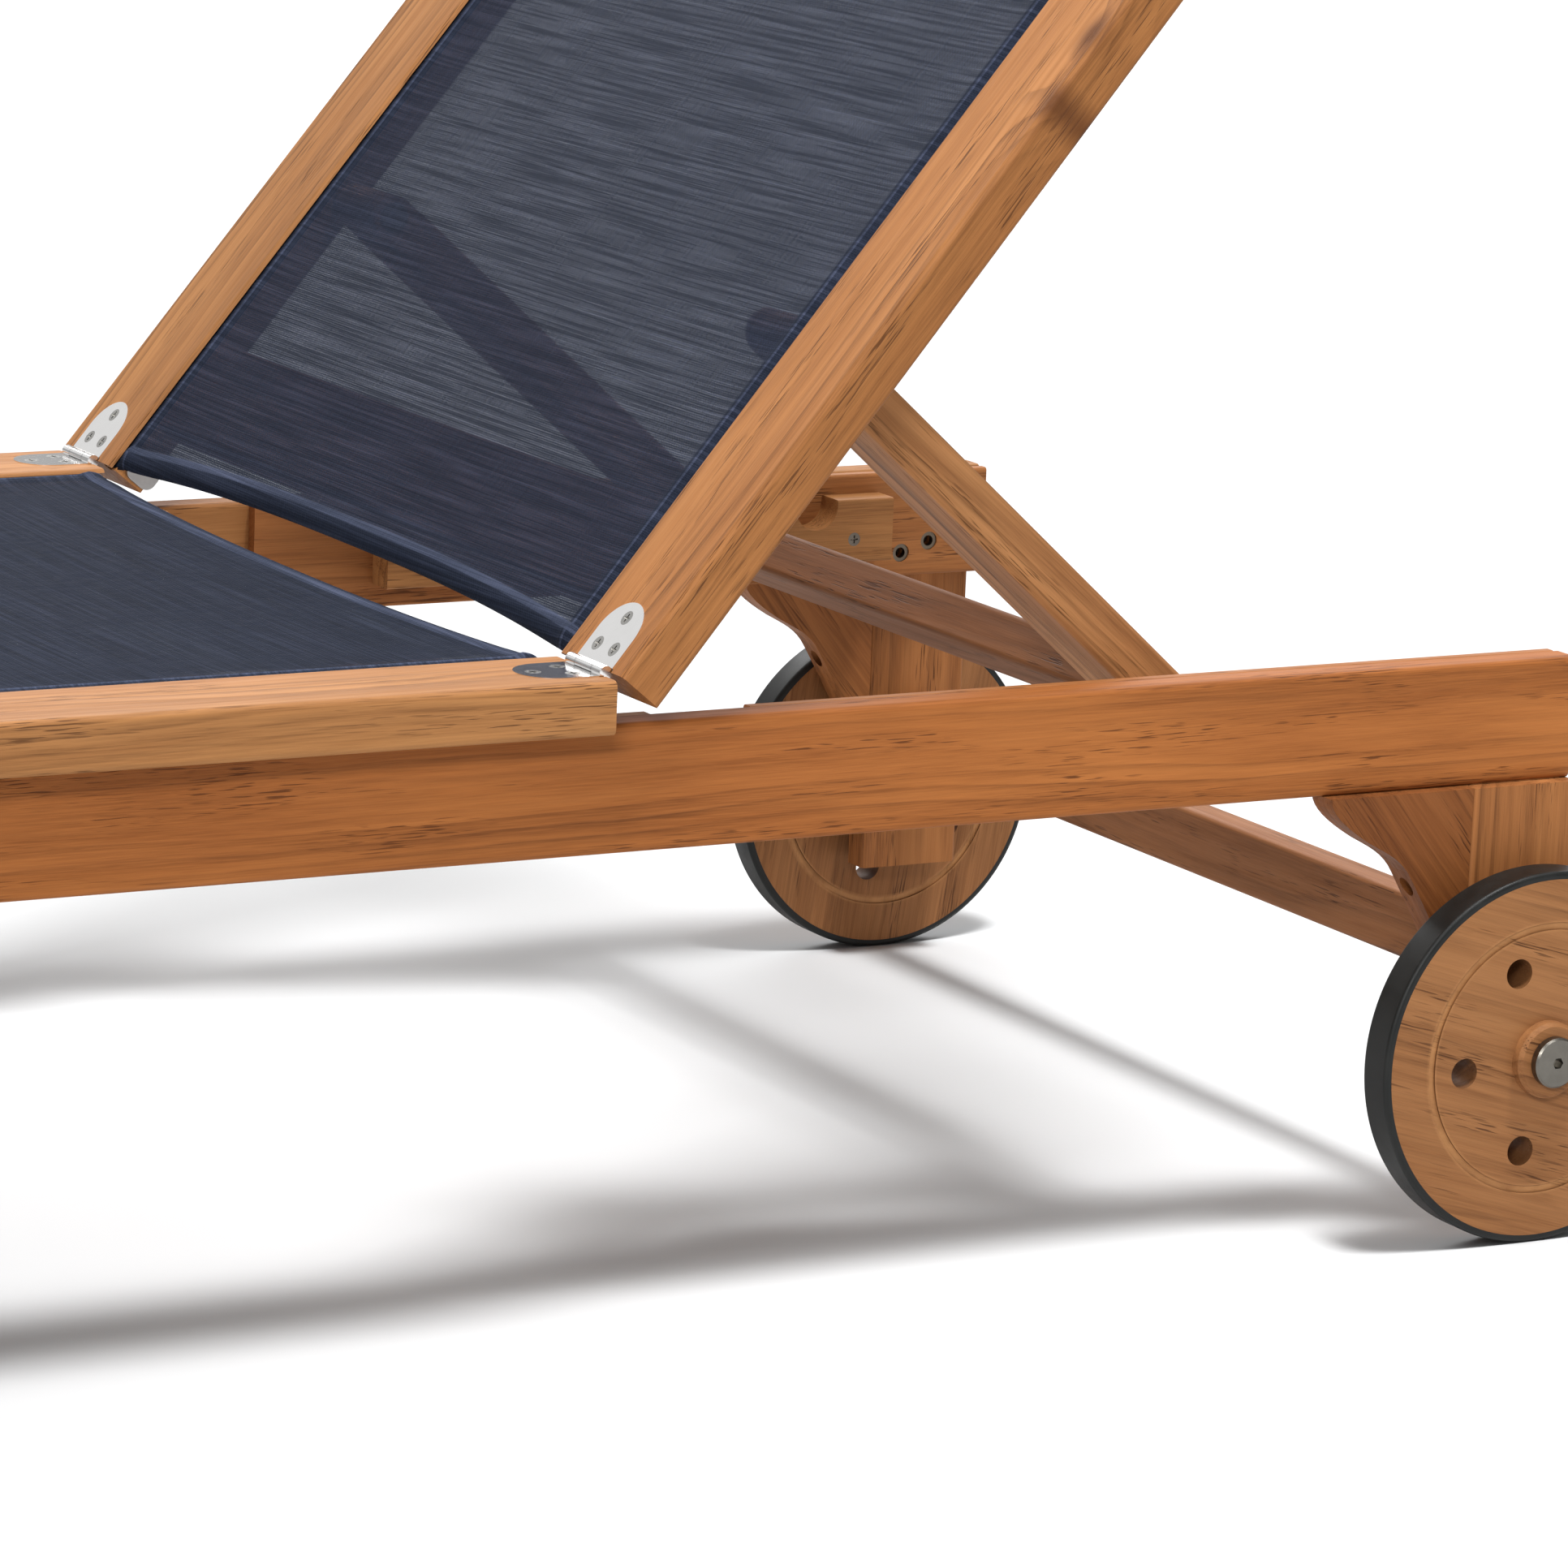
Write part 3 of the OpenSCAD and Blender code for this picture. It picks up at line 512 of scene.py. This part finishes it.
# Each kind of steel: colour, roughness, scratches, their depth, and how roughness and tone vary
STEELS = {
    "polished_stainless": ((0.90, 0.89, 0.88), 0.14, FINE_LENGTHWAYS, 0.000002, 0.03, 0.02),
    "brushed_stainless": ((0.17, 0.158, 0.138), 0.33, TURNED, 0.00003, 0.10, 0.1),
    "zinc_plate": ((0.46, 0.455, 0.45), 0.42, ROLLED, 0.00003, 0.12, 0.1),
    "bright_screws": ((0.42, 0.41, 0.39), 0.26, STAMPED, 0.00002, 0.08, 0.1),
    # This steel is dark: on the brace screws, set deep in their holes, the darkness is painted shade
    "screw_steel": ((0.16, 0.135, 0.11), 0.36, STAMPED, 0.00003, 0.10, 0.1),
    "bronzed_steel": ((0.15, 0.118, 0.088), 0.36, TURNED, 0.00003, 0.10, 0.1),
}

# The nodes that each kind of steel covers
STEEL_NODES = {
    "polished_stainless": ("seat_hinge_leaf_left", "seat_hinge_leaf_right", "back_hinge_leaf_left",
                           "back_hinge_leaf_right", "hinge_pins"),
    "brushed_stainless": ("axle_bolt_left", "axle_bolt_right", "axle_nuts", "prop_pivot_bolts"),
    "zinc_plate": ("back_end_plates",),
    "bright_screws": ("seat_hinge_screws", "back_hinge_screws"),
    # The brace screws take the dark steel as painted shade in their deep holes
    "screw_steel": ("rack_screws", "brace_screws"),
    "bronzed_steel": ("leg_bolts",),
}


def finish_hardware():
    """Steel on the fittings, rubber on the tyres, nylon on the bushes and splines."""
    for kind, covered in STEEL_NODES.items():
        made = steel(kind, *STEELS[kind])
        for node in covered:
            cover(node, made)
    black = rubber()
    for node in ("tyre_left", "tyre_right"):
        cover(node, black)
    white = nylon()
    for node in ("hub_bush_left", "hub_bush_right", "seat_splines", "back_splines"):
        cover(node, white)


# ---------------------------------------------------------------- slings

WEFT_PITCH = 1.2 * MM
WARP_PITCH = 1.3 * MM
NAVY = (0.0150, 0.0190, 0.0320)
CLOTH_T = 0.8 * MM


def woven(name, tone, open_share=None, haze=0.0):
    """Coated yarn in plain weave, seen in the sling's own coordinates: warp along x, weft along y.
    open_share is how much of the pitch is a gap, along x and along y, or None where cloth is doubled.
    haze is how much light slips between the fibres of the yarns."""
    s = Shader(name)
    along, across, _ = s.split(s.node("ShaderNodeTexCoord").outputs["Object"])
    weft = s.math("DIVIDE", along, WEFT_PITCH)
    warp = s.math("DIVIDE", across, WARP_PITCH)
    # 0 in the middle of a yarn and 1 midway between two
    off_weft = s.math("MULTIPLY", s.math("PINGPONG", weft, 0.5), 2.0)
    off_warp = s.math("MULTIPLY", s.math("PINGPONG", warp, 0.5), 2.0)
    # which yarn lies on top changes from crossing to crossing
    crossing = s.math("ADD", s.math("ROUND", weft), s.math("ROUND", warp))
    parity = s.math("FLOORED_MODULO", crossing, 2.0)
    weft_height = s.math("SQRT", s.math("SUBTRACT", 1.02, s.math("MULTIPLY", off_weft, off_weft)))
    warp_height = s.math("SQRT", s.math("SUBTRACT", 1.02, s.math("MULTIPLY", off_warp, off_warp)))
    weft_height = s.math("MULTIPLY", weft_height, s.math("MULTIPLY_ADD", parity, 0.45, 0.55))
    warp_height = s.math("MULTIPLY", warp_height, s.math("MULTIPLY_ADD", parity, -0.45, 1.0))
    over = s.math("MAXIMUM", weft_height, warp_height)
    yarn = s.noise(s.coordinates(scale=(90, 700, 90)), 1.0, 2.0)
    slub = s.noise(s.coordinates(scale=(1.6, 320, 1)), 1.0, 3.0, 0.6)
    cross_slub = s.noise(s.coordinates(scale=(560, 9, 1)), 1.0, 2.0, 0.55)
    cloud = s.noise(s.coordinates(), 7.0, 3.0, 0.6)
    # The yarns are painted darker where they dip and lighter on top: painted shade between them and a
    # painted highlight on their tops
    colour = s.mix(s.remap(over, 0.35, 1.0), shade(tone, 0.42), shade(tone, 1.22))
    colour = s.mix(s.remap(slub, 0.42, 0.70, 0.0, 0.30), colour, shade(tone, 1.8))
    colour = s.mix(s.remap(cross_slub, 0.50, 0.72, 0.0, 0.75), colour, shade(tone, 2.3, 0.04))
    colour = s.mix(s.remap(cross_slub, 0.50, 0.28, 0.0, 0.60), colour, shade(tone, 0.50))
    colour = s.mix(s.remap(cloud, 0.3, 0.7, 0.0, 0.16), colour, shade(tone, 0.8))
    s.feed(s.surface.inputs["Base Color"], colour)
    s.feed(s.surface.inputs["Roughness"], s.remap(yarn, 0.3, 0.7, 0.60, 0.76))
    s.surface.inputs["Specular IOR Level"].default_value = 0.02
    s.feed(s.surface.inputs["Normal"], s.bump(over, 0.00022, 0.75))
    if open_share is not None:
        gap_weft = s.math("GREATER_THAN", off_weft, 1 - open_share[0])
        gap_warp = s.math("GREATER_THAN", off_warp, 1 - open_share[1])
        gap = s.math("MULTIPLY_ADD", s.math("MULTIPLY", gap_weft, gap_warp), 0.50, haze)
        gap = s.math("MULTIPLY", gap, s.remap(cross_slub, 0.35, 0.65, 0.75, 1.35))
        s.feed(s.surface.inputs["Alpha"], s.math("SUBTRACT", 1.0, gap))
    return s.material


# Rows of the welted hem: how far in from its free edge, and how high it stands over the cloth, in mm
HEM_TOP = [(15.0, 0.0), (13.2, 0.05), (12.6, 0.7), (11.5, 0.85), (10.2, 1.2), (8.8, 1.5), (7.2, 1.2),
           (5.4, 0.75), (3.6, 0.1), (2.0, -0.8), (0.8, -1.9)]
HEM_UNDER = [(0.0, -3.0), (0.3, -4.0), (1.4, -4.8), (3.4, -5.0), (6.0, -4.4), (9.0, -3.2), (12.0, -1.9),
             (12.6, -1.1)]
# The first and last row of faces in the hem's welt, counted from the fold at its free edge
HEM_WELT = (5, 8)

# Columns of the welted side band: how far in from the rail, and how high it stands, in mm
SIDE_BAND = [(-5.0, 0.0), (0.6, 0.0), (2.0, 0.5), (4.0, 1.3), (6.0, 1.9), (7.4, 2.15), (7.9, 2.6),
             (8.5, 2.65), (9.0, 2.1), (11.0, 1.9), (13.0, 1.65), (14.0, 1.2), (16.5, 0.9), (22.0, 0.5),
             (30.0, 0.2)]
# The side band's welt lies between the first two of these, and its doubled cloth ends at the last
SIDE_WELT = (7.8 * MM, 9.2 * MM)
SIDE_DOUBLED = 13.9 * MM

OPEN_ROWS = 40
OPEN_COLUMNS = 44
# How the sag flattens towards the rails, and where beside them a hem's height fades out
SAG_POWER = 2.2
FADE_PAST = 4 * MM
FADE_OVER = 8 * MM
# A sling's three materials: open cloth, doubled cloth and welt, whose lighter colour is a painted
# highlight on its raised ridge
OPEN, DOUBLED, WELT = 0, 1, 2


def side_columns(half):
    """Pairs (y, height) across the sling, finer in the bands beside the rails."""
    left = [(-(half - inward * MM), high * MM) for inward, high in SIDE_BAND]
    reach = half - SIDE_BAND[-1][0] * MM
    inner = [(-reach + 2 * reach * i / OPEN_COLUMNS, 0.0) for i in range(1, OPEN_COLUMNS)]
    return left + inner + [(-y, high) for y, high in reversed(left)]


def sling_rows():
    """Rows (kind, amount, height) from one rolled edge to the other. amount is in mm from the free edge
    in a hem, and the share of the open cloth that lies before the row elsewhere."""
    hem_rows = HEM_TOP + HEM_UNDER
    rows = [("low", inward, high) for inward, high in reversed(hem_rows)]
    rows += [("open", i / OPEN_ROWS, 0.0) for i in range(1, OPEN_ROWS)]
    return rows + [("high", inward, high) for inward, high in hem_rows]


def row_x(kind, amount, low, top):
    """The x of a row where the sling's free edges lie at low and top."""
    if kind == "low":
        return low + amount * MM
    if kind == "high":
        return top - amount * MM
    hem_depth = HEM_TOP[0][0] * MM
    start, end = low + hem_depth, top - hem_depth
    return start + (end - start) * amount


def cloth_of_face(row, last_row, inward):
    """Which of a sling's materials covers a face in this row that lies inward from a rail."""
    from_end = min(row, last_row - row) - len(HEM_UNDER)
    if HEM_WELT[0] <= from_end <= HEM_WELT[1] or SIDE_WELT[0] < inward < SIDE_WELT[1]:
        return WELT
    if inward < SIDE_DOUBLED or from_end < len(HEM_TOP) - 2:
        return DOUBLED
    return OPEN


def sling_mesh(name, half, low_hem, high_hem, sag):
    """The middle surface of a sheet, whose hems stand up from the cloth and roll under at both edges."""
    columns = side_columns(half)
    mesh = bmesh.new()
    grid = []
    for kind, amount, high in sling_rows():
        line = []
        for y, band in columns:
            x = row_x(kind, amount, low_hem(y), high_hem(y))
            hang = sag * (1 - min(1.0, abs(y) / half) ** SAG_POWER)
            fade = min(1.0, (half + FADE_PAST - abs(y)) / FADE_OVER)
            line.append(mesh.verts.new((x, y, band - hang + high * MM * fade)))
        grid.append(line)
    last_row = len(grid) - 2
    for i in range(last_row + 1):
        for j in range(len(columns) - 1):
            corners = (grid[i][j], grid[i + 1][j], grid[i + 1][j + 1], grid[i][j + 1])
            face = mesh.faces.new(corners)
            face.smooth = True
            inward = half - min(abs(columns[j][0]), abs(columns[j + 1][0]))
            face.material_index = cloth_of_face(i, last_row, inward)
    mesh.normal_update()
    data = bpy.data.meshes.new(name)
    mesh.to_mesh(data)
    mesh.free()
    return data


def make_sling(name, place, half, low_hem, high_hem, sag, materials):
    """A sheet between two rails, in its own frame: x along the rails, y across, z out of the face.
    low_hem and high_hem give the x of each free edge at y."""
    data = sling_mesh(name, half, low_hem, high_hem, sag)
    for material in materials:
        data.materials.append(material)
    sling = bpy.data.objects.new(name, data)
    bpy.context.scene.collection.objects.link(sling)
    sling.matrix_world = place
    thick = sling.modifiers.new("thickness", "SOLIDIFY")
    thick.thickness = CLOTH_T
    thick.offset = 0.0
    thick.use_even_offset = True
    return sling


# The height of a sling's plane over its rails' faces, and how far its middle sags below that
LEVEL = -5.3 * MM
BACK_SAG = 1.8 * MM
SEAT_SAG = 3.0 * MM

# The free edges: where the middle of each lies from the hinge or from a rail, and how deep it curves
BACK_LOW_START = 14.5 * MM
BACK_LOW_CURVE = 11 * MM
BACK_TOP_GAP = 9 * MM
BACK_TOP_CURVE = 8 * MM
SEAT_FOOT_GAP = 10 * MM
SEAT_FOOT_CURVE = 8 * MM
SEAT_HEAD_START = -9.5 * MM
SEAT_HEAD_CURVE = 7.5 * MM
SEAT_HEAD_CORNER = 4.5 * MM
HEM_POWER = 2.6

# Gaps between the yarns of the open cloth, along and across, and the light between their fibres
BACK_GAPS, BACK_HAZE = (0.34, 0.46), 0.095
SEAT_GAPS, SEAT_HAZE = (0.34, 0.40), 0.015


def hem(middle_x, depth, half, towards=1):
    """The x of a free edge at y: it bends away by depth towards the rails, most tightly beside them."""
    return lambda y: middle_x - towards * depth * min(1.0, abs(y) / half) ** HEM_POWER


def seat_head_hem(y):
    """The seat's edge at the hinge: a shallow curve with rounded corners."""
    inner = abs(y) / seat_inner
    curve = SEAT_HEAD_START + SEAT_HEAD_CURVE * min(1.0, inner / 0.9) ** 2.5
    corner = max(0.0, inner - 0.88) / 0.12
    return curve - SEAT_HEAD_CORNER * corner ** 2


def add_back_sling(doubled, welt):
    """The backrest's sling, from just beyond the hinge to the top rail."""
    open_weave = woven("back_weave", shade(NAVY, 1.12), BACK_GAPS, BACK_HAZE)
    end = (middle("back_top_rail") - hinge).length - frame_width / 2 - BACK_TOP_GAP
    low = hem(BACK_LOW_START, BACK_LOW_CURVE, seat_inner)
    high = hem(end, BACK_TOP_CURVE, seat_inner, towards=-1)
    place = back_place @ Matrix.Translation((0, 0, LEVEL))
    weaves = (open_weave, doubled, welt)
    back = make_sling("back_sling_weave", place, seat_inner, low, high, BACK_SAG, weaves)
    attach(back, "backrest")
    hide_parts("back_sling")
    return back


def add_seat_sling(doubled, welt):
    """The seat's sling, from the foot rail to just short of the hinge."""
    open_weave = woven("seat_weave", shade(NAVY, 0.82), SEAT_GAPS, SEAT_HAZE)
    start = seat_foot + frame_width + SEAT_FOOT_GAP - hinge.x
    low = hem(start + SEAT_FOOT_CURVE, SEAT_FOOT_CURVE, seat_inner)
    place = seat_place @ Matrix.Translation((0, 0, LEVEL))
    weaves = (open_weave, doubled, welt)
    seat = make_sling("seat_sling_weave", place, seat_inner, low, seat_head_hem, SEAT_SAG, weaves)
    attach(seat, "base")
    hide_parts("seat_sling")
    return seat


def add_slings():
    """Both slings, with the weaves that they share."""
    doubled = woven("doubled_weave", NAVY)
    # The welt's navy is made about twice as light: a painted highlight on the raised ridges of the hems
    # and side bands
    welt = woven("welt_weave_painted_highlight", shade(NAVY, 2.1, 0.04))
    back = add_back_sling(doubled, welt)
    seat = add_seat_sling(doubled, welt)
    return back, seat


# ---------------------------------------------------------------- studio


FLOOR_SIZE = 40.0
FLOOR_GREYS = ((0.53, 0.535, 0.54), (0.54, 0.545, 0.55))


def add_floor():
    """A wide, plain, pale floor."""
    bpy.ops.mesh.primitive_plane_add(size=FLOOR_SIZE, location=(0, 0, 0))
    floor = bpy.context.object
    floor.name = "studio_floor"
    s = Shader("studio_floor")
    mottle = s.noise(s.coordinates(), 0.8, 2.0)
    s.feed(s.surface.inputs["Base Color"], s.mix(mottle, *FLOOR_GREYS))
    s.surface.inputs["Roughness"].default_value = 0.9
    s.surface.inputs["Specular IOR Level"].default_value = 0.1
    floor.data.materials.append(s.material)
    return floor


def area_light(name, place, target, size, power):
    """A rectangular light that the camera doesn't see, turned to its target."""
    data = bpy.data.lights.new(name, "AREA")
    data.shape = "RECTANGLE"
    data.size, data.size_y = size
    data.energy = power
    light = bpy.data.objects.new(name, data)
    bpy.context.scene.collection.objects.link(light)
    light.visible_camera = False
    light.location = place
    aim = Vector(target) - Vector(place)
    light.rotation_mode = "QUATERNION"
    light.rotation_quaternion = aim.to_track_quat("-Z", "Y")
    return light


# Crosspieces under the slings that leave no shadow of their own
SHADOWLESS_NODES = ("seat_spreader_foot", "seat_spreader_head", "middle_cross_rail", "back_lower_rail")


def gather(name, things, state):
    """A collection for light linking: state EXCLUDE leaves these things out, INCLUDE takes only them."""
    group = bpy.data.collections.new(name)
    for thing in things:
        group.objects.link(thing)
    for entry in group.collection_objects:
        entry.light_linking.link_state = state
    return group


KEY_PLACE = (1.0, -1.3, 4.6)
KEY_AIM = (0.3, 0.0, 0.2)
# Each area light's place, the point that it's turned to, its width and height, and its power in watts
LIGHTS = {
    "key": (KEY_PLACE, KEY_AIM, (0.8, 0.8), 185),
    "floor_key": (KEY_PLACE, KEY_AIM, (1.4, 1.4), 200),
    "overhead": ((-0.2, 0.2, 3.5), (0.0, 0.0, 0.2), (3.0, 2.2), 52),
    "front": ((-2.0, -3.8, 2.5), (-0.1, 0.0, 0.3), (1.6, 0.6), 125),
    "background": ((3.4, 7.0, 5.0), (3.4, 7.2, 0.0), (8.0, 6.0), 900),
    "back_card": ((-2.6, 8.0, 4.4), hinge, (6.0, 4.0), 30),
}
SKY_STRENGTH = 0.38


def add_sky():
    """An even white world."""
    world = bpy.data.worlds.new("studio")
    bpy.context.scene.world = world
    world.use_nodes = True
    sky = world.node_tree.nodes["Background"]
    sky.inputs["Color"].default_value = (1, 1, 1, 1)
    sky.inputs["Strength"].default_value = SKY_STRENGTH


def add_lights(slings, floor):
    """Soft studio light. floor_key lights only the floor, and overhead and front leave it out."""
    add_sky()
    lights = {name: area_light(name, *settings) for name, settings in LIGHTS.items()}
    crosspieces = [nodes[name] for name in SHADOWLESS_NODES]
    shadowless = gather("shadowless", [*slings, *crosspieces], "EXCLUDE")
    for name in ("key", "floor_key", "overhead"):
        lights[name].light_linking.blocker_collection = shadowless
    floor_only = gather("floor_only", [floor], "INCLUDE")
    lights["floor_key"].light_linking.receiver_collection = floor_only
    not_floor = gather("not_floor", [floor], "EXCLUDE")
    for name in ("overhead", "front"):
        lights[name].light_linking.receiver_collection = not_floor
    bpy.context.scene.view_settings.view_transform = "Standard"


# ---------------------------------------------------------------- make it

finish_boards()
finish_hardware()
slings = add_slings()
floor = add_floor()
add_lights(slings, floor)
